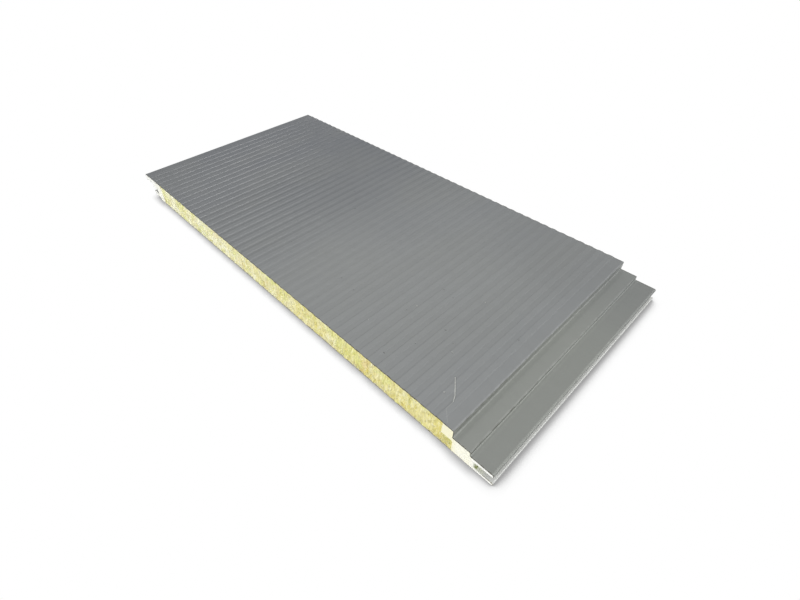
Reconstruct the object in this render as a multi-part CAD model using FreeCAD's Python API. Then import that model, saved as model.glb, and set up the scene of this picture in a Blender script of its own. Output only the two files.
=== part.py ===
"""Insulated sandwich panel: a 500 mm length of a 50 mm rock-wool wall panel with a hidden-fixing edge joint.

Two thin roll-formed steel sheets are bonded to a rock-wool core, and a strip of polyurethane foam seals
each long edge. The whole panel is one constant section, run along +Y. The female edge is at low X and the
male edge at high X. Section points are (x, z), with x from the nose of the female edge and z from the
underside. The model's origin is at the middle of the panel's underside, with +Z towards the outer face.
"""
import FreeCAD, Part
import math
import os

# ---- driving dimensions, mm ----
MODULE = 1000.0  # cover width: the pitch from one laid panel to the next
REVEAL = 18.0  # open joint left between two faces
THICKNESS = 50.0  # from the underside to the flat of the outer face
LENGTH = 500.0  # cut length of the panel
OUTER_SHEET = 0.5
INNER_SHEET = 0.5
BEND_RADIUS = 1.0  # inside radius of the roll-formed bends
NOSE_RADIUS = 2.5  # inside radius round the nose of the upper lip

# ribs of the outer face
RIB_PITCH = 20.2
RIB_CREST = 7.5
RIB_WEB = 2.6  # width of each sloping side
RIB_HEIGHT = 0.9
RIB_MARGIN = 14.0  # least flat strip between the last rib and each edge of the face

# male edge
SHOULDER_DROP = 17.0
SHOULDER_WIDTH = 31.0
FLANGE_DROP = 8.0
FLANGE_WIDTH = 39.0  # fixing flange, from its riser to the end of the upper lip
UPPER_LIP = 6.5  # thickness of the upper lip, sheet to sheet
LOWER_LIP = 5.0
LOWER_LIP_LEAD = 1.5  # how far the lower lip reaches past the upper one
GROOVE_DEPTH = 26.0  # from the end of the upper lip to the foam at the back
FOLD_BACK = 17.0  # sheet returned inside the groove from the end of each lip

# clearances of the joint, between the male edge and the next panel's female edge
TONGUE_GAP = 1.0  # above and below the tongue
TONGUE_END_GAP = 2.0
LIP_GAP = 1.5  # over and beyond the upper lip
LOWER_LIP_GAP = 1.0
SHOULDER_GAP = 3.0  # under the overhang
SCREW_POCKET = 18.0  # width of the fixing flange left free for the screw heads

# core
SEAL_WIDTH = 80.0  # female foam strip, from the nose to the wool
SHOULDER_SEAL = 20.0  # width of the male foam behind the first riser, above the fixing flange

# ---- levels and places worked out from them ----
FACE_WIDTH = MODULE - REVEAL
SHOULDER_Z = THICKNESS - SHOULDER_DROP
FLANGE_Z = SHOULDER_Z - FLANGE_DROP
UPPER_LIP_Z = FLANGE_Z - UPPER_LIP
FLANGE_X = FACE_WIDTH + SHOULDER_WIDTH
UPPER_LIP_X = FLANGE_X + FLANGE_WIDTH
LOWER_LIP_X = UPPER_LIP_X + LOWER_LIP_LEAD
GROOVE_X = UPPER_LIP_X - GROOVE_DEPTH

TONGUE_TOP = UPPER_LIP_Z - TONGUE_GAP
TONGUE_UNDER = LOWER_LIP + TONGUE_GAP
TONGUE_X = GROOVE_X + TONGUE_END_GAP - MODULE
SLOT_TOP = FLANGE_Z + LIP_GAP
SLOT_X = UPPER_LIP_X + LIP_GAP - MODULE
UNDERSIDE_X = LOWER_LIP_X + LOWER_LIP_GAP - MODULE
OVERHANG_Z = SHOULDER_Z + SHOULDER_GAP
OVERHANG_X = FLANGE_X + SCREW_POCKET - MODULE

RIGHT, LEFT = -1, 1  # the hand of a path on which the hidden back of its sheet lies


def place(x, z):
    """A section point in the model's frame, on the near cut face."""
    return FreeCAD.Vector(x - LOWER_LIP_X / 2, -LENGTH / 2, z)


def direction(start, end):
    """Unit vector from one section point to the next."""
    dx, dz = end[0] - start[0], end[1] - start[1]
    run = math.hypot(dx, dz)
    return dx / run, dz / run


def turn(before, after):
    """Signed angle from one direction to the next, positive to the left."""
    cross = before[0] * after[1] - before[1] * after[0]
    return math.atan2(cross, before[0] * after[0] + before[1] * after[1])


def corner_arc(before, corner, after):
    """Start, middle and end of the arc that rounds a corner; one point three times for a sharp corner."""
    x, z, radius = corner
    arriving, leaving = direction(before, corner), direction(corner, after)
    angle = turn(arriving, leaving)
    if radius == 0 or abs(angle) < 1e-6:
        return (x, z), (x, z), (x, z)
    reach = radius * math.tan(abs(angle) / 2)
    rise = radius * (1 / math.cos(angle / 2) - 1) / (2 * math.sin(abs(angle) / 2))
    start = (x - arriving[0] * reach, z - arriving[1] * reach)
    middle = (x + (leaving[0] - arriving[0]) * rise, z + (leaving[1] - arriving[1]) * rise)
    end = (x + leaving[0] * reach, z + leaving[1] * reach)
    return start, middle, end


def run_of_section(corners):
    """The solid whose section is the closed outline through corners of (x, z, radius)."""
    after = corners[1:] + corners[:1]
    arcs = [corner_arc(corners[i - 1], corners[i], after[i]) for i in range(len(corners))]
    edges = []
    for (start, middle, end), (next_start, _, _) in zip(arcs, arcs[1:] + arcs[:1]):
        if start != end:
            edges.append(Part.Arc(place(*start), place(*middle), place(*end)).toShape())
        edges.append(Part.makeLine(place(*end), place(*next_start)))
    return Part.Face(Part.Wire(edges)).extrude(FreeCAD.Vector(0, LENGTH, 0))


def sheet_sides(bends, thickness, back):
    """The exposed side and the back of a sheet, each as corners of (x, z, radius).

    The exposed side runs through the bends of (x, z, inside radius). On the side that lies inside a bend the
    radius stays, and on the other it grows by the sheet's thickness.
    """
    exposed_side, back_side = [], []
    for i, (x, z, radius) in enumerate(bends):
        arriving = direction(*bends[max(i - 1, 0):][:2])
        leaving = direction(*bends[min(i, len(bends) - 2):][:2])
        angle = turn(arriving, leaving)
        shift = back * thickness / (1 + math.cos(angle))
        wide = radius + thickness if radius else 0
        back_is_inside = angle * back > 0
        exposed_side.append((x, z, wide if back_is_inside else radius))
        back_side.append((x - (arriving[1] + leaving[1]) * shift,
                          z + (arriving[0] + leaving[0]) * shift,
                          radius if back_is_inside else wide))
    return exposed_side, back_side


# ---- the paths of the two sheets, on their exposed side ----
def female_outer_edge():
    """Outer sheet from the roof of the slot, round the overhang, to the outer face."""
    return [
        (SLOT_X, SLOT_TOP, 0),
        (OVERHANG_X, SLOT_TOP, BEND_RADIUS),
        (OVERHANG_X, OVERHANG_Z, BEND_RADIUS),
        (0, OVERHANG_Z, BEND_RADIUS),
        (0, THICKNESS, BEND_RADIUS),
    ]


def ribs():
    """Low trapezoidal ribs, evenly spaced across the outer face with a flat strip left at each edge."""
    width = RIB_CREST + 2 * RIB_WEB
    count = int((FACE_WIDTH - 2 * RIB_MARGIN - width) // RIB_PITCH) + 1
    first = (FACE_WIDTH - (count - 1) * RIB_PITCH - width) / 2
    bends = []
    for x in (first + i * RIB_PITCH for i in range(count)):
        bends += [
            (x, THICKNESS, BEND_RADIUS),
            (x + RIB_WEB, THICKNESS + RIB_HEIGHT, BEND_RADIUS),
            (x + RIB_WEB + RIB_CREST, THICKNESS + RIB_HEIGHT, BEND_RADIUS),
            (x + width, THICKNESS, BEND_RADIUS),
        ]
    return bends


def male_outer_edge():
    """Outer sheet from the outer face, down the shoulder and the fixing flange, and round the upper lip."""
    return [
        (FACE_WIDTH, THICKNESS, BEND_RADIUS),
        (FACE_WIDTH, SHOULDER_Z, BEND_RADIUS),
        (FLANGE_X, SHOULDER_Z, BEND_RADIUS),
        (FLANGE_X, FLANGE_Z, BEND_RADIUS),
        (UPPER_LIP_X, FLANGE_Z, NOSE_RADIUS),
        (UPPER_LIP_X, UPPER_LIP_Z, NOSE_RADIUS),
        (UPPER_LIP_X - FOLD_BACK, UPPER_LIP_Z, 0),
    ]


def female_inner_edge():
    """Inner sheet from the floor of the slot, round the tongue, to the underside."""
    return [
        (SLOT_X, TONGUE_TOP, 0),
        (TONGUE_X, TONGUE_TOP, BEND_RADIUS),
        (TONGUE_X, TONGUE_UNDER, BEND_RADIUS),
        (UNDERSIDE_X, TONGUE_UNDER, BEND_RADIUS),
        (UNDERSIDE_X, 0, BEND_RADIUS),
    ]


def male_inner_edge():
    """Inner sheet from the underside, round the lower lip."""
    return [
        (LOWER_LIP_X, 0, BEND_RADIUS),
        (LOWER_LIP_X, LOWER_LIP, BEND_RADIUS),
        (LOWER_LIP_X - FOLD_BACK, LOWER_LIP, 0),
    ]


# ---- the pieces ----
def outer_sheet():
    bends = female_outer_edge() + ribs() + male_outer_edge()
    exposed, back = sheet_sides(bends, OUTER_SHEET, RIGHT)
    return run_of_section(exposed + back[::-1])


def inner_sheet():
    bends = female_inner_edge() + male_inner_edge()
    exposed, back = sheet_sides(bends, INNER_SHEET, LEFT)
    return run_of_section(exposed + back[::-1])


def rock_wool_core():
    """Wool between the two foam strips, stepped under the shoulder of the male edge."""
    top = THICKNESS - OUTER_SHEET
    return run_of_section([
        (SEAL_WIDTH, INNER_SHEET, 0),
        (FACE_WIDTH, INNER_SHEET, 0),
        (FACE_WIDTH, FLANGE_Z, 0),
        (FACE_WIDTH - SHOULDER_SEAL, FLANGE_Z, 0),
        (FACE_WIDTH - SHOULDER_SEAL, top, 0),
        (SEAL_WIDTH, top, 0),
    ])


def female_edge_foam():
    """Foam that fills the overhang and the tongue and closes the back of the slot."""
    _, outer = sheet_sides(female_outer_edge() + [(SEAL_WIDTH, THICKNESS, 0)], OUTER_SHEET, RIGHT)
    _, inner = sheet_sides(female_inner_edge() + [(SEAL_WIDTH, 0, 0)], INNER_SHEET, LEFT)
    return run_of_section(outer + inner[::-1])


def male_edge_foam():
    """Foam under the shoulder, in both lips and at the back of the groove."""
    upper_start, lower_start = FACE_WIDTH - SHOULDER_SEAL, FACE_WIDTH
    upper_face, upper = sheet_sides([(upper_start, THICKNESS, 0)] + male_outer_edge(), OUTER_SHEET, RIGHT)
    lower_face, lower = sheet_sides([(lower_start, 0, 0)] + male_inner_edge(), INNER_SHEET, LEFT)
    groove = [
        upper_face[-1],
        (GROOVE_X, UPPER_LIP_Z, 0),
        (GROOVE_X, LOWER_LIP, 0),
        lower_face[-1],
    ]
    step = [(lower_start, FLANGE_Z, 0), (upper_start, FLANGE_Z, 0)]
    return run_of_section(upper + groove + lower[::-1] + step)


PIECES = {
    "outer_sheet": outer_sheet,
    "inner_sheet": inner_sheet,
    "rock_wool_core": rock_wool_core,
    "female_edge_foam": female_edge_foam,
    "male_edge_foam": male_edge_foam,
}

os.makedirs("parts", exist_ok=True)
for name, make in PIECES.items():
    solid = make()
    solid.exportStep(f"parts/{name}.step")
    print(f"{name}: valid {solid.isValid()}, {solid.Volume / 1000:.1f} cm3")
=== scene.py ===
"""The looks of a rock-wool sandwich wall panel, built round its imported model.

The two steel sheets keep their modelled shape and get a coil-coat finish with sawn ends. The rock wool is
made again with torn, fibrous cut faces and loose strands on them, and the edge foam with open pores.
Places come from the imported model: X runs across the panel, from the female edge to the male edge, Y along
its length and Z up to the outer face.
"""
import bpy
import math
import random
from bpy.props import FloatProperty, FloatVectorProperty, IntProperty, PointerProperty
from mathutils import Euler, Matrix, Vector


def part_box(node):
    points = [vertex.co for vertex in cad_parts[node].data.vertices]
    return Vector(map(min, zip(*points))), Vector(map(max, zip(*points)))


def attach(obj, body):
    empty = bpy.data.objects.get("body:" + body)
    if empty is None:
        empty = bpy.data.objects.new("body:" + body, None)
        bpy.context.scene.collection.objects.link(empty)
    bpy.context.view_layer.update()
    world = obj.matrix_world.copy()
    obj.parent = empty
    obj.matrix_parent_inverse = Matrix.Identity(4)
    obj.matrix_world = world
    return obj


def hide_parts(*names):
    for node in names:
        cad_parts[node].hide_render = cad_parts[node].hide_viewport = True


bl_info = {
    "name": "Sandwich Wall Panel",
    "version": (1, 0, 0),
    "blender": (4, 5, 0),
    "location": "View3D > Sidebar > Wall Panel",
    "description": "Dresses an insulated wall panel: coated steel faces, cut rock wool and edge foam",
    "category": "Add Mesh",
}

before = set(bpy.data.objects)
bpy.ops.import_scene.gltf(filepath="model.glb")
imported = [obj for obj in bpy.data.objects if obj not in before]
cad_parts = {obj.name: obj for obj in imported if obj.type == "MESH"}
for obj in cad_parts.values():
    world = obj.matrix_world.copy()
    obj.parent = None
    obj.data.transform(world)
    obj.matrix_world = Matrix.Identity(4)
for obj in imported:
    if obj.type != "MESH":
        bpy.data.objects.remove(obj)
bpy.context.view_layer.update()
MM = 0.001

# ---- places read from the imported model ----
SHEET_LOW, SHEET_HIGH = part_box("outer_sheet")
WOOL_LOW, WOOL_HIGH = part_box("rock_wool_core")
FEMALE_LOW, FEMALE_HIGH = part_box("female_edge_foam")
MALE_LOW, MALE_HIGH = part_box("male_edge_foam")
HALF_LENGTH = SHEET_HIGH.y
FACE_Z = WOOL_HIGH.z + 0.5 * MM  # flat of the outer face, one sheet above the wool
SOAK_X = MALE_LOW.x  # upper joint of wool and male foam
WOOL_LEVELS = sorted({round(v.co.z, 6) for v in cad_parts["rock_wool_core"].data.vertices})
STEP_Z = WOOL_LEVELS[1]  # level of the ledge in the wool under the shoulder
GROOVE_BACK_X = MALE_HIGH.x - 26 * MM  # foam at the back of the male groove


def risers():
    """Place along X, level of the foot and level of the top of each of the male edge's two risers."""
    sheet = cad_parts["outer_sheet"].data
    levels = {}
    for face in sheet.polygons:
        if face.normal.x > 0.999 and face.center.x > SOAK_X and face.center.z > STEP_Z:
            heights = [sheet.vertices[vertex].co.z for vertex in face.vertices]
            levels.setdefault(round(face.center.x, 5), []).extend(heights)
    return sorted((place_x, min(heights), max(heights)) for place_x, heights in levels.items())


RISERS = risers()


# ---- sizes and colours that a user would change ----
def colour(name, description, value):
    return FloatVectorProperty(
        name=name, description=description, subtype="COLOR", size=3, min=0, max=1, default=value)


def length(name, description, value):
    return FloatProperty(name=name, description=description, unit="LENGTH", min=0, default=value)


class PANEL_PG_finish(bpy.types.PropertyGroup):
    face_coat: colour("Face coat", "Grey coil coat of the outer sheet", (0.270, 0.280, 0.281))
    # face_painted_shade: the same coat darkened by painted shade, used towards the female edge
    face_painted_shade: colour("Face coat, dulled", "The same coat where it has dulled", (0.170, 0.181, 0.197))
    step_coat: colour("Step coat", "The coat on the steps, covered in the stack", (0.278, 0.290, 0.265))
    # riser_dirt_and_shade: dirt specks together with painted shade of the riser faces
    riser_dirt_and_shade: colour("Grime", "Dirt settled in the corners of the steps", (0.085, 0.08, 0.06))
    primer: colour("Primer", "What shows in a scratch through the coat", (0.62, 0.63, 0.60))
    back_coat: colour("Back coat", "Pale coat of the inner sheet", (0.79, 0.795, 0.765))
    # sawn_steel_and_shade: bare steel darkened further as painted shade under the sheet's edge
    sawn_steel_and_shade: colour("Sawn steel", "Bare ends of the outer sheet", (0.085, 0.08, 0.06))
    sawn_back: colour("Sawn back", "Bare ends of the inner sheet, half under its coat", (0.34, 0.32, 0.24))
    wool_pale: colour("Pale wool", "Lighter tufts of the rock wool", (0.95, 0.945, 0.74))
    wool_deep: colour("Deep wool", "Darker, more resinous wool", (0.79, 0.72, 0.28))
    # wool_crease_shade: painted shade at the bottom of the wool's tears
    wool_crease_shade: colour("Wool creases", "Bottom of the tears between tufts", (0.42, 0.36, 0.13))
    glue: colour("Glue line", "Adhesive that bonds the wool to the sheets", (0.26, 0.21, 0.10))
    foam: colour("Edge foam", "Freshly cut polyurethane foam", (0.96, 0.965, 0.93))
    foam_warm: colour("Warm foam", "Foam that has yellowed in the light", (0.94, 0.91, 0.67))
    # foam_groove_shade: painted shade on the foam at the back of the male groove
    foam_groove_shade: colour("Dusty foam", "Foam at the back of the male groove", (0.22, 0.25, 0.10))


class PANEL_PG_relief(bpy.types.PropertyGroup):
    wool_cell: length("Wool cell", "Grid on the wool's cut faces", 1.225 * MM)
    tuft: length("Tufts", "Depth of the tufts on the cut wool", 1.5 * MM)
    streak: length("Streaks", "Depth of the upright fibre streaks", 1.3 * MM)
    tear: length("Tears", "Depth of the torn pits", 2.4 * MM)
    foam_cell: length("Foam cell", "Grid on the foam's cut faces", 1.6 * MM)
    foam_relief: length("Foam relief", "Unevenness of the sawn foam", 0.5 * MM)
    strands: IntProperty(name="Strands", description="Loose strands on each cut face", min=0, default=1100)
    strand: length("Strand", "Usual length of a loose strand", 11 * MM)
    strand_radius: length("Strand radius", "Half the thickness of a strand", 0.11 * MM)


class PANEL_PG_stage(bpy.types.PropertyGroup):
    floor: length("Floor", "Side of the square floor", 40.0)
    contact: length("Contact shadow", "Reach of the soft shade round the panel's foot", 18 * MM)
    dome: FloatProperty(name="Dome", description="Even light from all round", min=0, default=0.405)
    sun: FloatProperty(name="Sun", description="Soft light from the front", min=0, default=1.46)
    sun_spread: FloatProperty(name="Sun spread", description="Width of the sun, in degrees", default=35)
    near_lamp: FloatProperty(
        name="Near lamp", description="Soft lamp over the near end", unit="POWER", min=0, default=0.4)
    top_lamp: FloatProperty(
        name="Top lamp", description="Wide lamp over the male edge", unit="POWER", min=0, default=1.9)
    back_lamp: FloatProperty(
        name="Back lamp", description="Far lamp whose gleam shows the ribs", unit="POWER", min=0, default=108)
    low_lamp: FloatProperty(
        name="Low lamp", description="Strip lamp beside the male edge", unit="POWER", min=0, default=6.5)
    lens: FloatProperty(name="Lens", description="Focal length, in mm", min=1, default=20.52)


# ---- shader maths ----
class Wire:
    """One output of a node. Sums, products and comparisons of wires add Math nodes."""

    def __init__(self, finish, socket):
        self.finish = finish
        self.socket = socket

    def other(self, name):
        """Another output of the same node."""
        return Wire(self.finish, self.socket.node.outputs[name])

    def __add__(self, value):
        return self.finish.maths("ADD", self, value)

    def __radd__(self, value):
        return self.finish.maths("ADD", value, self)

    def __sub__(self, value):
        return self.finish.maths("SUBTRACT", self, value)

    def __rsub__(self, value):
        return self.finish.maths("SUBTRACT", value, self)

    def __mul__(self, value):
        return self.finish.maths("MULTIPLY", self, value)

    def __rmul__(self, value):
        return self.finish.maths("MULTIPLY", value, self)

    def __pow__(self, value):
        return self.finish.maths("POWER", self, value)

    def __gt__(self, value):
        return self.finish.maths("GREATER_THAN", self, value)

    def __lt__(self, value):
        return self.finish.maths("LESS_THAN", self, value)

    def __abs__(self):
        return self.finish.maths("ABSOLUTE", self)


class Finish:
    """A material and its node tree, with the point on the piece as its start."""

    def __init__(self, name):
        self.material = bpy.data.materials.new(name)
        self.material.use_nodes = True
        self.tree = self.material.node_tree
        self.shader = self.tree.nodes["Principled BSDF"]
        self.output = self.tree.nodes["Material Output"]
        self.point = self.node("ShaderNodeTexCoord", output="Object")
        parts = self.node("ShaderNodeSeparateXYZ", inputs={0: self.point})
        self.x, self.y, self.z = (parts.other(axis) for axis in "XYZ")

    def node(self, kind, settings=None, inputs=None, output=0):
        """A new node: its settings are set first, then the values or links of its sockets."""
        node = self.tree.nodes.new(kind)
        for name, value in (settings or {}).items():
            setattr(node, name, value)
        for name, value in (inputs or {}).items():
            if isinstance(value, Wire):
                self.tree.links.new(value.socket, node.inputs[name])
            else:
                node.inputs[name].default_value = value
        return Wire(self, node.outputs[output])

    def maths(self, operation, *values, clamp=False):
        """One Math node; clamp keeps its result between 0 and 1."""
        return self.node(
            "ShaderNodeMath", {"operation": operation, "use_clamp": clamp}, dict(enumerate(values)))

    def smallest(self, values):
        least = values[0]
        for value in values[1:]:
            least = self.maths("MINIMUM", least, value)
        return least

    def biggest(self, values):
        most = values[0]
        for value in values[1:]:
            most = self.maths("MAXIMUM", most, value)
        return most

    def ease(self, value, start, end, low=0.0, high=1.0):
        """A smooth rise from low at start to high at end."""
        return self.node(
            "ShaderNodeMapRange", {"interpolation_type": "SMOOTHSTEP"},
            {0: value, 1: start, 2: end, 3: low, 4: high})

    def stretched(self, x, y, z, point=None):
        """The point, scaled by a different amount along each axis."""
        return self.node(
            "ShaderNodeVectorMath", {"operation": "MULTIPLY"}, {0: point or self.point, 1: (x, y, z)})

    def noise(self, scale, detail=3.0, roughness=0.5, point=None):
        """Soft noise from 0 to 1, whose patches are about 1 / scale metres wide."""
        return self.node("ShaderNodeTexNoise", None, {
            "Vector": point or self.point, "Scale": scale, "Detail": detail, "Roughness": roughness})

    def cells(self, scale):
        """Distance from the middle of each of many scattered cells."""
        return self.node("ShaderNodeTexVoronoi", None, {"Vector": self.point, "Scale": scale}, "Distance")

    def blend(self, share, first, second, mode="MIX"):
        """Two colours mixed; a plain colour has three numbers."""
        inputs = {0: share, 6: first, 7: second}
        for name in (6, 7):
            if not isinstance(inputs[name], Wire):
                inputs[name] = (*tuple(inputs[name])[:3], 1)
        return self.node("ShaderNodeMix", {"data_type": "RGBA", "blend_type": mode}, inputs, 2)

    def grey(self, value):
        """A number as a colour, for multiplying a colour by it."""
        return self.node("ShaderNodeCombineColor", None, {0: value, 1: value, 2: value})

    def shaded(self, base, amount):
        """A colour made lighter or darker by a number near 1."""
        return self.blend(1.0, base, self.grey(amount), "MULTIPLY")

    def away_from(self, start, end):
        """Distance, in the plane of the face, from a straight line between two points."""
        run_x, run_y = end[0] - start[0], end[1] - start[1]
        square = run_x * run_x + run_y * run_y
        across, along = self.x - start[0], self.y - start[1]
        share = self.maths("ADD", across * (run_x / square), along * (run_y / square), clamp=True)
        off_x, off_y = across - share * run_x, along - share * run_y
        return (off_x * off_x + off_y * off_y) ** 0.5

    def bump(self, height, distance, strength=1.0, under=None):
        """Normal from a height of 0 to 1 over a distance in metres, on top of another bump."""
        inputs = {"Strength": strength, "Distance": distance, "Height": height}
        if under is not None:
            inputs["Normal"] = under
        return self.node("ShaderNodeBump", None, inputs)

    def finished(self, base, roughness, normal=None, metallic=None, **constants):
        """Links what varies and sets what doesn't on the shader's own sockets."""
        linked = {"Base Color": base, "Roughness": roughness, "Normal": normal, "Metallic": metallic}
        for name, value in linked.items():
            if isinstance(value, Wire):
                self.tree.links.new(value.socket, self.shader.inputs[name])
            elif value is not None:
                self.shader.inputs[name].default_value = value
        for name, value in constants.items():
            self.shader.inputs[name.replace("_", " ")].default_value = value
        return self.material


class Sky(Finish):
    """The world's node tree, with the direction looked in as its start."""

    def __init__(self, world):
        world.use_nodes = True
        self.tree = world.node_tree
        self.shader = self.tree.nodes["Background"]
        self.point = self.node("ShaderNodeTexCoord", output="Generated")
        parts = self.node("ShaderNodeSeparateXYZ", inputs={0: self.point})
        self.x, self.y, self.z = (parts.other(axis) for axis in "XYZ")


# ---- lesser tints of the finishes ----
WARM_COAT = (0.255, 0.262, 0.25)
COOL_BACK = (0.69, 0.70, 0.685)
BACK_DIRT = (0.50, 0.48, 0.42)
WOOL_GREEN = (0.76, 0.78, 0.28)
WOOL_OCHRE = (0.78, 0.60, 0.30)
WOOL_FIBRE = (0.97, 0.95, 0.70)
WOOL_FLECK = (0.97, 0.95, 0.78)
WOOL_CRUSHED = (0.96, 0.95, 0.76)
WOOL_OLIVE = (0.60, 0.61, 0.25)
STRAND_PALE = (0.93, 0.91, 0.68)
STRAND_STRAW = (0.82, 0.74, 0.40)
PORE = (0.58, 0.54, 0.36)
FLOOR_WHITE = (0.92, 0.92, 0.92, 1)
WHITE = (1, 1, 1, 1)

# ---- wear on the face: places in millimetres back from the first step and in from the near end ----
SCRATCH_START = (55, 70)
SCRATCH_BEND = (35, 45)
SCRATCH_END = (30, 35)
TAIL_BEND = (30, 20)  # the tail only marks the coat
TAIL_END = (15, 5)
DENTS = 16
DENT_WIDTHS = (2.5, 5.0)
DENTED_BACK = (5, 365, 60)  # least, most and usual place of a dent
DENTED_IN = (12, 300, 25)


# ---- the finishes ----
def on_face(back, inward):
    """A place on the face, from millimetres back from the first step and in from the near end."""
    return RISERS[0][0] - back * MM, -HALF_LENGTH + inward * MM


def away_from_route(finish, *corners):
    """Distance, in the plane of the face, from a route of straight runs between corners."""
    places = [on_face(*corner) for corner in corners]
    return finish.smallest([finish.away_from(*run) for run in zip(places, places[1:])])


def sawn_ends(finish):
    """1 on the sheet's sawn ends and on the coat chipped back beside them."""
    chips = finish.ease(finish.noise(420, 2), 0.42, 0.70, 0.5 * MM, 1.4 * MM)
    return (HALF_LENGTH - abs(finish.y)) < chips


def face_coat():
    """Satin grey coil coat, darker by painted shade and cool towards the female edge, with a scratch, scuffs
    and sawn ends.
    """
    colours = bpy.context.scene.panel_finish
    finish = Finish("grey_coil_coat")
    place = finish.ease(finish.x + finish.y * -0.75, -0.50, 0.24)  # 0 where the painted shade is deepest, 1 where there is none
    patches = finish.noise(5.5, 4, 0.55)
    share = place * 0.85 + (patches - 0.5) * 0.45 + 0.08
    base = finish.blend(share, colours.face_painted_shade, colours.face_coat)
    warm = finish.ease(finish.noise(9, 3, point=finish.stretched(1, 0.5, 1)), 0.42, 0.66)
    base = finish.blend(warm * 0.25, base, WARM_COAT)

    # handling dust and roll marks; along the run of the ribs, painted shade on the webs, and valleys darker
    # from dust and painted shade
    dust = finish.noise(60, 4, 0.6)
    marks = finish.noise(1, 3, 0.6, point=finish.stretched(260, 5, 260))
    base = finish.shaded(base, 1 + (dust - 0.5) * 0.07 + (marks - 0.5) * 0.06)
    valley_dust_and_shade = finish.ease(finish.z, FACE_Z - 0.1 * MM, FACE_Z + 0.45 * MM, 1.0, 0.0)
    web_shade = finish.ease(abs(finish.z - FACE_Z - 0.4 * MM), 0.1 * MM, 0.35 * MM, 1.0, 0.0)
    near_half = finish.ease(finish.y, 0.04, 0.18, 1.0, 0.1)
    # dulled: extra darkening of the valleys, dust and painted shade, in a band across the near half
    dulled = finish.ease(abs(finish.x + 0.16), 0.07, 0.16, 0.10, 0.0) * near_half
    base = finish.shaded(base, 1 - valley_dust_and_shade * (0.035 + dulled) - web_shade * (1 - place) * 0.16)

    # the steps of the male edge, cleaner and warmer, with painted shade towards the far end and a little
    # darker on the last step
    on_steps = finish.x > RISERS[0][0] - 0.4 * MM
    # far_end: painted shade where the light falls off towards the far end of the steps
    far_end = finish.ease(finish.y, 0.02, 0.22) * finish.ease(finish.x, 0.12, 0.36)
    base = finish.blend(on_steps * (0.8 - far_end * 0.35), base, colours.step_coat)
    last_step = finish.x > RISERS[1][0] + 1.5 * MM
    base = finish.shaded(base, 1 - far_end * 0.08 - last_step * 0.065)
    specks = finish.ease(finish.noise(1, 3, 0.6, point=finish.stretched(260, 90, 260)), 0.42, 0.60)

    # dirt specks and painted shade on the risers, most of it at the near end, a painted highlight on the fold
    # above each and painted light on the foot below it
    dirt_and_shade_near = finish.ease(finish.y, -0.20, 0.02, 1.0, 0.15)
    for (place_x, foot, top), highlight_gain, dirt_and_shade_gain in zip(RISERS, (0.26, 0.17), (1.0, 1.6)):
        out = finish.x - place_x
        upright = finish.ease(abs(out), 0.3 * MM, 1.0 * MM, 1.0, 0.0)
        high = finish.ease(finish.z, foot + (top - foot) * 0.10, foot + (top - foot) * 0.40)
        base = finish.blend(upright * high * dirt_and_shade_near * (0.04 + 0.34 * specks) * dirt_and_shade_gain, base, colours.riser_dirt_and_shade)
        # painted highlight on the fold at each riser's top, and painted light on its foot and the tread
        # beside it
        bend_highlight = finish.ease(abs(out + 1.5 * MM), 0.8 * MM, 1.8 * MM, 1.0, 0.0) * high
        wide = finish.ease(out, 1 * MM, 10 * MM, 0.17, 0.0)
        narrow = finish.ease(out, 0.6 * MM, 2.4 * MM, 0.26, 0.0)
        foot_light = (wide + narrow) * (1 - high) * (out > -0.6 * MM)
        base = finish.shaded(base, 1 + bend_highlight * (highlight_gain - 0.14 * specks) + foot_light)

    # the nose, with a painted highlight along its fold and painted shade on its front
    out = finish.x - SHEET_HIGH.x
    bend_highlight = finish.ease(abs(out + 2.0 * MM), 0.6 * MM, 2.2 * MM, 1.0, 0.0)
    # front: painted shade on the nose's front
    front = finish.ease(out, -0.7 * MM, -0.2 * MM)
    base = finish.shaded(base, 1 + bend_highlight * (0.28 - 0.12 * specks) - front * (0.26 + 0.15 * specks))

    # the nose of the female edge, darker along its fold
    brim = finish.ease(finish.x - SHEET_LOW.x, 0.5 * MM, 3.0 * MM, 1.0, 0.0)
    base = finish.shaded(base, 1 - brim * 0.12)

    # the scratch: pale primer in the middle, a raised rim of coat each side, darkened as painted shade
    wander = (finish.noise(180, 2) - 0.5) * (1.6 * MM)
    near = abs(away_from_route(finish, SCRATCH_START, SCRATCH_BEND, SCRATCH_END) + wander * 0.35)
    skips = finish.ease(finish.noise(520, 2), 0.30, 0.48)
    core = finish.ease(near, 0.50 * MM, 0.95 * MM, 1.0, 0.0) * (0.6 + 0.4 * skips)
    rim_and_shade = finish.ease(near, 0.8 * MM, 2.0 * MM, 1.0, 0.0) * (1 - core)
    tail = away_from_route(finish, SCRATCH_END, TAIL_BEND, TAIL_END)
    faint = finish.ease(tail, 0.15 * MM, 0.7 * MM, 0.30, 0.0)
    base = finish.shaded(base, 1 - rim_and_shade * 0.22)
    base = finish.blend(core * 0.85, base, colours.primer)
    base = finish.blend(faint * 0.5, base, colours.primer)

    # small dents and scuffs, strewn over the near corner; each dent is darkened as painted shade
    chance = random.Random(3)
    hollows = []
    for _ in range(DENTS):
        width = chance.uniform(*DENT_WIDTHS)
        centre_x, centre_y = on_face(chance.triangular(*DENTED_BACK), chance.triangular(*DENTED_IN))
        off_x, off_y = finish.x - centre_x, finish.y - centre_y
        away = (off_x * off_x + off_y * off_y * 2.2) ** 0.5
        hollows.append(finish.ease(away, 0.2 * width * MM, 0.6 * width * MM, 1.0, 0.0))
    dent_and_shade = finish.biggest(hollows)
    rubbed = dent_and_shade * finish.ease(finish.noise(240, 2), 0.47, 0.58)
    base = finish.shaded(base, 1 - dent_and_shade * 0.25)
    base = finish.blend(rubbed * 0.7, base, colours.primer)

    bare = sawn_ends(finish)
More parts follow.
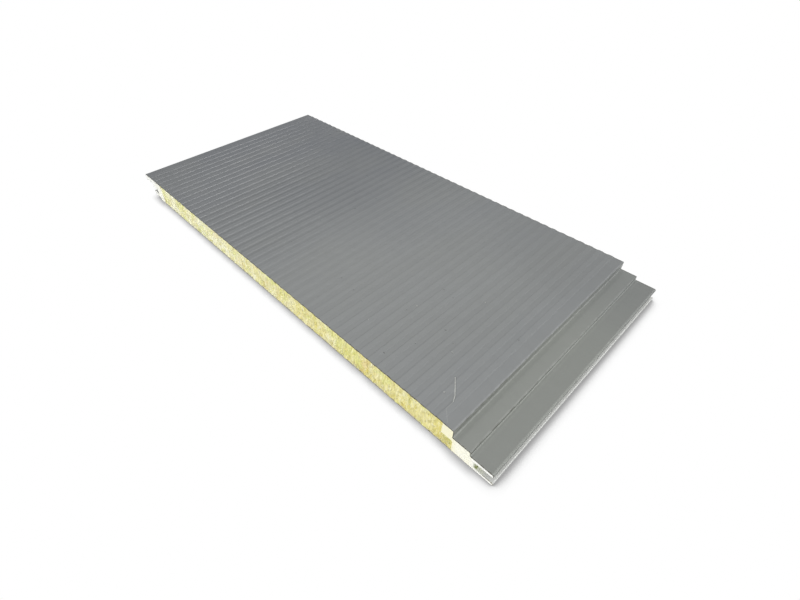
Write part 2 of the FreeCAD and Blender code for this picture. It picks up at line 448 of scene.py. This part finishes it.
    # the sawn ends, dark as bare steel and as painted shade
    base = finish.blend(bare, base, colours.sawn_steel_and_shade)

    # the sheet's slight waves and the peel of its coat, and gloss that is duller where it is handled
    peel = finish.noise(900, 2)
    waves = finish.noise(14, 2)
    ripple = finish.noise(1, 2, 0.5, point=finish.stretched(14, 26, 1))
    normal = finish.bump(waves, 0.5 * MM, 0.6)
    normal = finish.bump(ripple, 1.5 * MM, 0.7, normal)
    normal = finish.bump(peel, 0.02 * MM, 0.8, normal)
    normal = finish.bump(1 - dent_and_shade, 0.5 * MM, 1.0, normal)
    normal = finish.bump(rim_and_shade - core, 0.25 * MM, 1.0, normal)
    handled = finish.ease(finish.x, -0.05, 0.25)
    roughness = 0.30 + handled * 0.22 + (dust - 0.5) * 0.14 + core * 0.2 + bare * 0.2
    return finish.finished(
        base, roughness, normal, metallic=bare * 0.2, Specular_IOR_Level=0.5, IOR=1.5)


def back_coat():
    """Pale backing coat of the inner sheet, with roll marks, rubbed dirt and sawn ends."""
    colours = bpy.context.scene.panel_finish
    finish = Finish("pale_back_coat")
    patches = finish.noise(7, 4, 0.55)
    dirt = finish.ease(finish.noise(26, 5, 0.65), 0.50, 0.78)
    rubs = finish.ease(finish.noise(1, 4, 0.6, point=finish.stretched(14, 190, 14)), 0.60, 0.74)
    marks = finish.noise(1, 3, 0.6, point=finish.stretched(240, 4, 240))
    base = finish.blend(patches, colours.back_coat, COOL_BACK)
    base = finish.shaded(base, 1 + (marks - 0.5) * 0.05 - rubs * 0.05)
    base = finish.blend(dirt * 0.22, base, BACK_DIRT)
    bare = sawn_ends(finish)
    base = finish.blend(bare, base, colours.sawn_back)
    normal = finish.bump(finish.noise(12, 2), 0.4 * MM, 0.5)
    normal = finish.bump(finish.noise(820, 2), 0.02 * MM, 0.8, normal)
    roughness = 0.42 + dirt * 0.2 + (patches - 0.5) * 0.1 + bare * 0.15
    return finish.finished(
        base, roughness, normal, metallic=bare * 0.2, Specular_IOR_Level=0.4, IOR=1.5)


def cut_wool():
    """Matted rock wool: upright fibre streaks, pale tufts, resinous patches and dark tears."""
    colours = bpy.context.scene.panel_finish
    finish = Finish("rock_wool")
    aged = finish.ease(finish.x, WOOL_LOW.x - 0.1, WOOL_HIGH.x + 0.1)
    swirl = finish.noise(45, 3)
    leaning = finish.x + (swirl - 0.5) * 0.012
    bent = finish.node("ShaderNodeCombineXYZ", None, {0: leaning, 1: finish.y, 2: finish.z})
    streaks = finish.noise(1, 5, 0.62, point=finish.stretched(420, 90, 60, bent))
    coarse = finish.noise(1, 3, 0.55, point=finish.stretched(120, 60, 26, bent))
    mottle = finish.noise(70, 4, 0.6)
    patches = finish.noise(1, 3, 0.5, point=finish.stretched(24, 24, 14))
    fuzz = finish.noise(1500, 3, 0.7)

    share = aged * 0.95 + (patches - 0.5) * 1.6 + (coarse - 0.5) * 1.8 + 0.02
    base = finish.blend(finish.maths("ADD", share, 0.0, clamp=True), colours.wool_pale, colours.wool_deep)
    green = finish.ease(finish.noise(38, 3), 0.48, 0.60)
    base = finish.blend(green * 0.55, base, WOOL_GREEN)
    ochre = finish.ease(finish.noise(29, 3, point=finish.stretched(1, 1, 0.7)), 0.53, 0.68)
    base = finish.blend(ochre * (0.12 + 0.50 * aged), base, WOOL_OCHRE)
    base = finish.shaded(base, 1 + (streaks - 0.5) * 0.9 + (fuzz - 0.5) * 0.25)
    upright = finish.ease(streaks * 0.6 + coarse * 0.4, 0.53, 0.60)
    base = finish.blend(upright * 0.55, base, WOOL_FIBRE)
    # painted shade in the tears between tufts
    tears = finish.ease(finish.noise(1, 4, 0.6, point=finish.stretched(300, 120, 110, bent)), 0.57, 0.70)
    base = finish.blend(tears * (0.45 + 0.25 * aged), base, colours.wool_crease_shade)
    flecks = finish.ease(mottle, 0.60, 0.70)
    base = finish.blend(flecks * 0.5, base, WOOL_FLECK)
    corner = finish.ease(finish.x, SOAK_X - 6 * MM, SOAK_X + 6 * MM) * finish.ease(mottle, 0.35, 0.6)
    base = finish.blend(corner * 0.6, base, WOOL_OLIVE)

    # pale crushed band under the face, and a dark, ragged glue line where the wool is bonded to the sheets
    teeth = (finish.noise(1, 3, 0.6, point=finish.stretched(260, 90, 120)) - 0.5) * (2.2 * MM)
    crushed = finish.ease(WOOL_HIGH.z - finish.z + teeth, 2.5 * MM, 6.5 * MM, 1.0, 0.0)
    base = finish.blend(crushed * (0.15 + 0.5 * green), base, WOOL_CRUSHED)
    under_face = finish.ease(WOOL_HIGH.z - finish.z + teeth, 0.5 * MM, 1.5 * MM, 1.0, 0.0)
    over_back = finish.ease(finish.z - WOOL_LOW.z + teeth, 0.1 * MM, 0.9 * MM, 0.15, 0.0)
    base = finish.blend(finish.biggest([under_face, over_back]) * 0.85, base, colours.glue)

    # foam soaked into the wool along the joints with the edge foam
    ragged = (finish.noise(150, 4, 0.6) - 0.5) * (7 * MM)
    step = finish.ease(finish.z + ragged * 0.6, STEP_Z - 1.2 * MM, STEP_Z + 0.6 * MM)
    joint_x = WOOL_HIGH.x + step * (SOAK_X - WOOL_HIGH.x)
    male_side = finish.ease(finish.x + ragged, joint_x - 1.6 * MM, joint_x - 0.4 * MM)
    female_side = finish.ease(finish.x + ragged, WOOL_LOW.x + 0.4 * MM, WOOL_LOW.x + 1.6 * MM, 1.0, 0.0)
    soaked = finish.biggest([male_side, female_side])
    base = finish.blend(soaked * 0.9, base, colours.foam_warm)

    normal = finish.bump(coarse, 1.6 * MM, 0.6)
    normal = finish.bump(streaks, 0.9 * MM, 0.9, normal)
    normal = finish.bump(fuzz, 0.25 * MM, 0.9, normal)
    return finish.finished(base, 0.93, normal, Specular_IOR_Level=0.15)


def strand_wool():
    """Single glassy strands, from straw yellow to nearly white."""
    finish = Finish("wool_strands")
    tint = finish.noise(90, 3, 0.6)
    base = finish.blend(finish.ease(tint, 0.35, 0.65), STRAND_PALE, STRAND_STRAW)
    base = finish.shaded(base, 0.92 + 0.16 * finish.noise(700, 2))
    normal = finish.bump(finish.noise(2500, 2), 0.05 * MM, 0.5)
    return finish.finished(base, 0.55 + 0.2 * tint, normal, Specular_IOR_Level=0.35)


def cut_foam(name, warm_at, wool_joints):
    """Sawn rigid foam with fine pores. It warms where warm_at says and frays where it meets the wool."""
    colours = bpy.context.scene.panel_finish
    finish = Finish(name)
    patches = finish.noise(55, 4, 0.55)
    grain = finish.noise(650, 4, 0.65)
    pores = finish.ease(finish.cells(520), 0.10, 0.32, 1.0, 0.0)
    dots = finish.ease(finish.noise(240, 2), 0.54, 0.66)
    warm, groove_shade = warm_at(finish)
    base = finish.blend(finish.maths("ADD", warm, (patches - 0.5) * 0.5, clamp=True),
                        colours.foam, colours.foam_warm)
    # painted shade at the back of the male groove
    base = finish.blend(groove_shade * finish.ease(patches, 0.30, 0.52), base, colours.foam_groove_shade)
    base = finish.shaded(base, 1 + (grain - 0.5) * 0.10)
    base = finish.blend(pores * dots * 0.45, base, PORE)
    ragged = (finish.noise(150, 4, 0.6) - 0.5) * (7 * MM)
    fray = wool_joints(finish, ragged)
    base = finish.blend(fray * 0.8, base, colours.wool_deep)
    normal = finish.bump(grain, 0.25 * MM, 0.8)
    normal = finish.bump(1 - pores * dots, 0.4 * MM, 0.8, normal)
    return finish.finished(base, 0.78 + (grain - 0.5) * 0.2, normal, Specular_IOR_Level=0.25)


def male_foam():
    def warm_at(finish):
        """Yellowed under the face, and darkened by painted shade at the back of the groove near both ends."""
        block = finish.ease(finish.x, SOAK_X + 18 * MM, SOAK_X + 30 * MM, 1.0, 0.0)
        beside = finish.ease(finish.x, GROOVE_BACK_X - 9 * MM, GROOVE_BACK_X - 2 * MM)
        above = finish.ease(finish.z, 4 * MM, 7 * MM)
        below = finish.ease(finish.z, 17 * MM, 20 * MM, 1.0, 0.0)
        at_end = finish.ease(HALF_LENGTH - abs(finish.y), 8 * MM, 30 * MM, 1.0, 0.0)
        inner = finish.ease(finish.x, SOAK_X + 48 * MM, SOAK_X + 62 * MM, 1.0, 0.0)
        return block * 0.55 + inner * 0.45, beside * above * below * at_end

    def wool_joints(finish, ragged):
        beside = finish.ease(finish.x + ragged, SOAK_X + 0.2 * MM, SOAK_X + 1.0 * MM, 1.0, 0.0)
        low_x = WOOL_HIGH.x
        under = finish.ease(finish.x + ragged, low_x + 0.2 * MM, low_x + 1.0 * MM, 1.0, 0.0)
        below = finish.z < STEP_Z
        return finish.biggest([beside, under * below])

    return cut_foam("male_edge_foam", warm_at, wool_joints)


def female_foam():
    def warm_at(finish):
        """Yellowed a little towards the wool, and with no painted groove shade."""
        return finish.ease(finish.x, FEMALE_LOW.x + 20 * MM, FEMALE_HIGH.x) * 0.35, finish.y * 0

    def wool_joints(finish, ragged):
        return finish.ease(finish.x + ragged, FEMALE_HIGH.x - 1.0 * MM, FEMALE_HIGH.x - 0.2 * MM)

    return cut_foam("female_edge_foam", warm_at, wool_joints)


def coat(piece, material):
    """Puts one material on the whole of a piece."""
    if not piece.material_slots:
        piece.data.materials.append(material)
    for held in piece.material_slots:
        held.material = material


# ---- modelling ----
BLOCK_CELLS = 20  # cells of the wool's grid between two slices
GAUGE_PLACE = (0.013, 0.021, 0.007)  # middle of each displacement pattern, off the middle of the panel


def deselect():
    if bpy.context.object and bpy.context.object.mode != "OBJECT":
        bpy.ops.object.mode_set(mode="OBJECT")
    bpy.ops.object.select_all(action="DESELECT")


def pick(piece):
    """Makes one piece the only selected and active one."""
    deselect()
    piece.select_set(True)
    bpy.context.view_layer.objects.active = piece


def whole_copy(node, name):
    """A copy of a CAD node with its loose triangles merged into whole flat faces."""
    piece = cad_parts[node].copy()
    piece.data = piece.data.copy()
    piece.name = piece.data.name = name
    piece.parent = None
    for key in [key for key in piece.keys() if key.startswith("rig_")]:
        del piece[key]
    bpy.context.scene.collection.objects.link(piece)
    pick(piece)
    bpy.ops.mesh.customdata_custom_splitnormals_clear()
    bpy.ops.object.mode_set(mode="EDIT")
    bpy.ops.mesh.select_all(action="SELECT")
    bpy.ops.mesh.remove_doubles(threshold=1e-6)
    bpy.ops.mesh.dissolve_limited(angle_limit=math.radians(0.5))
    bpy.ops.object.mode_set(mode="OBJECT")
    return piece


def slice_up(piece, axis, places):
    """Cuts new edges into a piece in planes square to an axis, at each of the places."""
    square = [0.0, 0.0, 0.0]
    square[axis] = 1.0
    pick(piece)
    bpy.ops.object.mode_set(mode="EDIT")
    for place in places:
        at = [0.0, 0.0, 0.0]
        at[axis] = place
        bpy.ops.mesh.select_all(action="SELECT")
        bpy.ops.mesh.bisect(plane_co=at, plane_no=square)
    bpy.ops.object.mode_set(mode="OBJECT")


def select_faces(piece, wanted):
    """Selects the faces for which wanted(face) is true, ready for edit mode."""
    pick(piece)
    bpy.ops.object.mode_set(mode="EDIT")
    bpy.ops.mesh.select_mode(type="FACE")
    bpy.ops.mesh.select_all(action="DESELECT")
    bpy.ops.object.mode_set(mode="OBJECT")
    for face in piece.data.polygons:
        face.select = wanted(face)
    bpy.ops.object.mode_set(mode="EDIT")


def is_cut_face(face):
    return abs(face.normal.y) > 0.9


def end_groups(piece, rim):
    """One vertex group for each cut face, at full weight inside and at the rim's weight round it."""
    mesh = piece.data
    inside, border = set(), set()
    for face in mesh.polygons:
        (inside if is_cut_face(face) else border).update(face.vertices)
    border &= inside
    inside -= border
    for name, side in (("near_end", -1), ("far_end", 1)):
        group = piece.vertex_groups.new(name=name)
        group.add([v for v in inside if mesh.vertices[v].co.y * side > 0], 1.0, "REPLACE")
        group.add([v for v in border if mesh.vertices[v].co.y * side > 0], rim, "REPLACE")


def rough(piece, name, kind, size, depth, centre=0.5, **settings):
    """Pushes both cut faces in and out by a pattern whose features have a size along each axis.

    A positive depth with centre 0 only carves inwards.
    """
    pattern = bpy.data.textures.new(name, kind)
    for key, value in settings.items():
        setattr(pattern, key, value)
    bpy.ops.object.empty_add(location=GAUGE_PLACE)
    gauge = bpy.context.object
    gauge.scale = size
    for end, sign in (("near_end", 1), ("far_end", -1)):
        pick(piece)
        push = piece.modifiers.new(end, "DISPLACE")
        push.texture = pattern
        push.texture_coords = "OBJECT"
        push.texture_coords_object = gauge
        push.direction = "Y"
        push.vertex_group = end
        push.mid_level = centre
        push.strength = depth * sign
        bpy.ops.object.modifier_apply(modifier=push.name)
    bpy.data.objects.remove(gauge)
    bpy.data.textures.remove(pattern)


def smooth(piece, degrees):
    pick(piece)
    bpy.ops.object.shade_smooth_by_angle(angle=math.radians(degrees))


class PANEL_OT_outer_sheet(bpy.types.Operator):
    """Finish the ribbed outer sheet and its male and female edges"""
    bl_idname = "panel.outer_sheet"
    bl_label = "Outer Sheet"

    def execute(self, context):
        coat(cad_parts["outer_sheet"], face_coat())
        return {"FINISHED"}


class PANEL_OT_inner_sheet(bpy.types.Operator):
    """Finish the flat inner sheet"""
    bl_idname = "panel.inner_sheet"
    bl_label = "Inner Sheet"

    def execute(self, context):
        coat(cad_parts["inner_sheet"], back_coat())
        return {"FINISHED"}


class PANEL_OT_rock_wool(bpy.types.Operator):
    """Model the rock-wool core with its two torn cut faces"""
    bl_idname = "panel.rock_wool"
    bl_label = "Rock Wool"

    def execute(self, context):
        relief = context.scene.panel_relief
        wool = whole_copy("rock_wool_core", "rock_wool")
        block = BLOCK_CELLS * relief.wool_cell
        across = round((SOAK_X - WOOL_LOW.x) / block)
        slices = [WOOL_LOW.x + (SOAK_X - WOOL_LOW.x) * i / across for i in range(1, across + 1)]
        slice_up(wool, 0, slices)
        slice_up(wool, 2, [STEP_Z])
        select_faces(wool, is_cut_face)
        bpy.ops.mesh.subdivide(number_cuts=BLOCK_CELLS - 1)
        bpy.ops.object.mode_set(mode="OBJECT")
        end_groups(wool, 0.35)
        rough(wool, "tufts", "CLOUDS", (0.011, 0.02, 0.014), relief.tuft, 0.35,
              noise_scale=1.0, noise_depth=2)
        rough(wool, "streaks", "CLOUDS", (0.0026, 0.01, 0.017), relief.streak, 0.45,
              noise_scale=1.0, noise_depth=3)
        rough(wool, "tears", "MUSGRAVE", (0.006, 0.01, 0.010), relief.tear, 0.0,
              noise_scale=1.0, intensity=1.0, contrast=1.6)
        smooth(wool, 60)
        coat(wool, cut_wool())
        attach(wool, "root")
        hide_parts("rock_wool_core")
        return {"FINISHED"}


# sweep and twist in degrees, and the taper, of each kind of strand
STRAND_FORMS = ((35, 60, 0.4), (75, -90, 0.3), (120, 140, 0.35), (-55, 200, 0.5), (-95, -40, 0.3))


def strand_shape(sweep, twist, taper):
    """One thin strand along Z, of unit length, curved by a sweep and thinner towards its tip."""
    deselect()
    bpy.ops.mesh.primitive_cylinder_add(vertices=3, radius=1.0, depth=1.0, location=(0, 0, 0))
    strand = bpy.context.object
    slice_up(strand, 2, [-0.3, -0.1, 0.1, 0.3])
    for tip, size in ((0.5, taper), (0.3, (1 + taper) / 2), (-0.5, 0.6)):
        select_faces(strand, lambda face: False)
        bpy.ops.mesh.select_mode(type="VERT")
        bpy.ops.object.mode_set(mode="OBJECT")
        for vertex in strand.data.vertices:
            vertex.select = abs(vertex.co.z - tip) < 1e-3
        bpy.ops.object.mode_set(mode="EDIT")
        bpy.ops.transform.resize(value=(size, size, 1), center_override=(0, 0, tip))
        bpy.ops.object.mode_set(mode="OBJECT")
    relief = bpy.context.scene.panel_relief
    radius = relief.strand_radius / relief.strand
    strand.data.transform(Matrix.Diagonal((radius, radius, 1, 1)))
    for kind, amount in (("BEND", sweep), ("TWIST", twist)):
        shape = strand.modifiers.new(kind, "SIMPLE_DEFORM")
        shape.deform_method = kind
        shape.deform_axis = "X" if kind == "BEND" else "Z"
        shape.angle = math.radians(amount)
        bpy.ops.object.modifier_apply(modifier=shape.name)
    return strand


class PANEL_OT_loose_strands(bpy.types.Operator):
    """Scatter loose mineral strands over the wool's two cut faces"""
    bl_idname = "panel.loose_strands"
    bl_label = "Loose Strands"

    def execute(self, context):
        relief = context.scene.panel_relief
        shapes = [strand_shape(*form) for form in STRAND_FORMS]
        chance = random.Random(7)
        strands = []
        for side in (-1, 1):
            for _ in range(relief.strands):
                size = relief.strand * chance.triangular(0.35, 1.7, 0.8)
                x = chance.uniform(WOOL_LOW.x + 3 * MM, WOOL_HIGH.x - 3 * MM)
                top = WOOL_HIGH.z if x < SOAK_X - 3 * MM else STEP_Z
                reach = size * 0.5 + 0.6 * MM
                if top - reach < WOOL_LOW.z + reach:
                    continue
                z = chance.uniform(WOOL_LOW.z + reach, top - reach)
                lean = Euler((chance.gauss(0, 0.10), chance.gauss(0, 0.55), chance.uniform(0, 6.28)))
                y = side * (HALF_LENGTH - chance.triangular(-0.5 * MM, 0.9 * MM, 0.3 * MM))
                strand = chance.choice(shapes).copy()
                strand.data = strand.data.copy()
                turn = Matrix.Rotation(lean.y, 4, "Y") @ Matrix.Rotation(lean.x, 4, "X")
                spin = Matrix.Rotation(lean.z, 4, "Z")
                flat = Matrix.Diagonal((size, size * 0.35, size, 1))
                strand.data.transform(Matrix.Translation((x, y, z)) @ turn @ flat @ spin)
                context.scene.collection.objects.link(strand)
                strands.append(strand)
        deselect()
        for strand in strands:
            strand.select_set(True)
        context.view_layer.objects.active = strands[0]
        bpy.ops.object.join()
        for shape in shapes:
            bpy.data.objects.remove(shape)
        loose = context.object
        loose.name = loose.data.name = "wool_strands"
        smooth(loose, 80)
        coat(loose, strand_wool())
        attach(loose, "root")
        return {"FINISHED"}


class PANEL_OT_edge_foam(bpy.types.Operator):
    """Model the female and male edge foam with sawn, porous ends"""
    bl_idname = "panel.edge_foam"
    bl_label = "Edge Foam"

    def execute(self, context):
        relief = context.scene.panel_relief
        for node, material in (("female_edge_foam", female_foam), ("male_edge_foam", male_foam)):
            low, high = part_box(node)
            foam = whole_copy(node, node.replace("_edge", ""))
            for axis in (0, 2):
                count = round((high[axis] - low[axis]) / relief.foam_cell)
                span = high[axis] - low[axis]
                slice_up(foam, axis, [low[axis] + span * i / count for i in range(1, count)])
            end_groups(foam, 0.0)
            rough(foam, "saw_waves", "CLOUDS", (0.006, 0.01, 0.004), relief.foam_relief, 0.35,
                  noise_scale=1.0, noise_depth=3)
            rough(foam, "voids", "VORONOI", (0.009, 0.01, 0.007), relief.foam_relief * 0.9, 0.0,
                  noise_scale=1.0, contrast=3.0, intensity=0.7)
            smooth(foam, 40)
            coat(foam, material())
            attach(foam, "root")
            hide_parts(node)
        return {"FINISHED"}


FLOOR_DROP = 0.2 * MM  # how far the floor lies under the panel
CAMERA_PLACE = (0.6214, -0.5283, 0.6074)
CAMERA_TURN = (46.38, 0.77, 45.79)  # degrees


class PANEL_OT_stage(bpy.types.Operator):
    """Set up the floor, the light and the camera"""
    bl_idname = "panel.stage"
    bl_label = "Stage"

    def execute(self, context):
        stage = context.scene.panel_stage
        deselect()
        bpy.ops.mesh.primitive_plane_add(size=stage.floor, location=(0, 0, -FLOOR_DROP))
        floor = context.object
        floor.name = "floor"
        coat(floor, self.floor_finish(stage))
        self.light(context, stage)

        bpy.ops.object.camera_add(
            location=CAMERA_PLACE, rotation=[math.radians(turn) for turn in CAMERA_TURN])
        camera = context.object
        camera.name = "camera"
        camera.data.sensor_width = 36
        camera.data.lens = stage.lens
        camera.data.shift_x = 0.018
        camera.data.shift_y = -0.0095
        camera.data.clip_start = 0.01
        context.scene.camera = camera
        context.scene.view_settings.view_transform = "Standard"
        return {"FINISHED"}

    @staticmethod
    def seen(finish):
        """1 for rays that come straight, or through gloss or glass, from the eye."""
        path = finish.node("ShaderNodeLightPath")
        return finish.biggest(
            [path.other("Is Camera Ray"), path.other("Is Glossy Ray"), path.other("Is Transmission Ray")])

    def floor_finish(self, stage):
        """White floor that keeps a soft contact shade round the panel, deepest beside the male edge."""
        finish = Finish("white_floor")
        finish.shader.inputs["Base Color"].default_value = FLOOR_WHITE
        finish.shader.inputs["Roughness"].default_value = 0.9
        finish.shader.inputs["Specular IOR Level"].default_value = 0.0
        near = self.shade(finish, stage.contact, (0, 0, 1)) ** 1.1
        lee = finish.ease(self.shade(finish, 2.1 * stage.contact, (-0.65, 0.05, 0.75)), 0.02, 0.76)
        under = finish.ease(self.shade(finish, 3.5 * stage.contact, (0, 0, 1)), 0.12, 0.44)
        openness = finish.biggest([near * lee * under, 0.35])
        glow = finish.node("ShaderNodeEmission", None, {"Color": finish.grey(openness), "Strength": 1.0})
        floor = finish.node("ShaderNodeMixShader", None, {
            0: self.seen(finish), 1: Wire(finish, finish.shader.outputs[0]), 2: glow})

        # from below the floor is clear, and the panel's underside is lit as on a light table
        table = finish.node("ShaderNodeEmission", None, {"Color": WHITE, "Strength": 0.8})
        gap = finish.node("ShaderNodeLightPath", output="Ray Length")
        floor = finish.node("ShaderNodeMixShader", None, {0: gap < 3 * FLOOR_DROP, 1: floor, 2: table})
        clear = finish.node("ShaderNodeBsdfTransparent", None, {"Color": WHITE})
        below = finish.node("ShaderNodeNewGeometry", output="Backfacing")
        floor = finish.node("ShaderNodeMixShader", None, {0: below, 1: floor, 2: clear})
        finish.tree.links.new(floor.socket, finish.output.inputs["Surface"])
        return finish.material

    @staticmethod
    def shade(finish, reach, towards):
        """How open the floor is to light from one side, from 0 to 1, within a reach."""
        side = finish.node("ShaderNodeVectorMath", {"operation": "NORMALIZE"}, {0: towards})
        return finish.node(
            "ShaderNodeAmbientOcclusion", {"samples": 12}, {"Distance": reach, "Normal": side}, "AO")

    def light(self, context, stage):
        """Even dome light with a white horizon, a soft sun from the front and four soft lamps."""
        world = bpy.data.worlds.new("dome")
        context.scene.world = world
        sky = Sky(world)
        horizon = sky.ease(sky.z, 0.08, 0.30, 1.0, 0.0)
        strength = self.seen(sky) * horizon * (1 - stage.dome) + stage.dome
        sky.shader.inputs["Color"].default_value = WHITE
        sky.tree.links.new(strength.socket, sky.shader.inputs["Strength"])

        self.sun("soft_sun", (0.25, -1.45, 1.00), stage.sun_spread, stage.sun)
        self.lamp("back_lamp", (-3.5, 3.1, 7.2), (-3.5, 3.1, 0.0), (1.7, 3.0), stage.back_lamp)
        self.lamp("near_lamp", (0.55, -0.45, 0.95), (0.40, -0.15, 0.05), (0.7, 0.5), stage.near_lamp)
        self.lamp("top_lamp", (0.70, 0.05, 1.35), (0.30, 0.0, 0.05), (1.2, 1.2), stage.top_lamp)
        self.lamp("low_lamp", (1.60, 0.0, 0.022), (0.45, 0.0, 0.022), (0.04, 1.4), stage.low_lamp)

    @staticmethod
    def sun(name, place, spread, strength):
        """A sun that shines on the panel from the side of a place, as wide as its spread in degrees."""
        bpy.ops.object.light_add(type="SUN", location=place)
        sun = bpy.context.object
        sun.name = name
        sun.rotation_euler = Vector(place).to_track_quat("Z", "Y").to_euler()
        sun.data.angle = math.radians(spread)
        sun.data.energy = strength
        sun.visible_camera = False

    @staticmethod
    def lamp(name, place, target, size, power):
        """A soft rectangular lamp, turned from its place towards a target."""
        bpy.ops.object.light_add(type="AREA", location=place)
        lamp = bpy.context.object
        lamp.name = name
        lamp.rotation_euler = (Vector(place) - Vector(target)).to_track_quat("Z", "Y").to_euler()
        lamp.data.shape = "RECTANGLE"
        lamp.data.size, lamp.data.size_y = size
        lamp.data.energy = power
        lamp.visible_camera = False


class PANEL_PT_build(bpy.types.Panel):
    """Builds the panel's pieces one by one"""
    bl_label = "Wall Panel"
    bl_idname = "PANEL_PT_build"
    bl_space_type = "VIEW_3D"
    bl_region_type = "UI"
    bl_category = "Wall Panel"

    def draw(self, context):
        layout = self.layout
        for step in STEPS:
            layout.operator(step.bl_idname)
        for group in ("panel_finish", "panel_relief", "panel_stage"):
            box = layout.box()
            settings = getattr(context.scene, group)
            for name in settings.__annotations__:
                box.prop(settings, name)


STEPS = (
    PANEL_OT_outer_sheet,
    PANEL_OT_inner_sheet,
    PANEL_OT_rock_wool,
    PANEL_OT_loose_strands,
    PANEL_OT_edge_foam,
    PANEL_OT_stage,
)
CLASSES = (PANEL_PG_finish, PANEL_PG_relief, PANEL_PG_stage, *STEPS, PANEL_PT_build)


def register():
    for cls in CLASSES:
        bpy.utils.register_class(cls)
    bpy.types.Scene.panel_finish = PointerProperty(type=PANEL_PG_finish)
    bpy.types.Scene.panel_relief = PointerProperty(type=PANEL_PG_relief)
    bpy.types.Scene.panel_stage = PointerProperty(type=PANEL_PG_stage)


def unregister():
    del bpy.types.Scene.panel_stage
    del bpy.types.Scene.panel_relief
    del bpy.types.Scene.panel_finish
    for cls in reversed(CLASSES):
        bpy.utils.unregister_class(cls)


def main():
    register()
    bpy.ops.panel.outer_sheet()
    bpy.ops.panel.inner_sheet()
    bpy.ops.panel.rock_wool()
    bpy.ops.panel.loose_strands()
    bpy.ops.panel.edge_foam()
    bpy.ops.panel.stage()


if __name__ == "__main__":
    main()
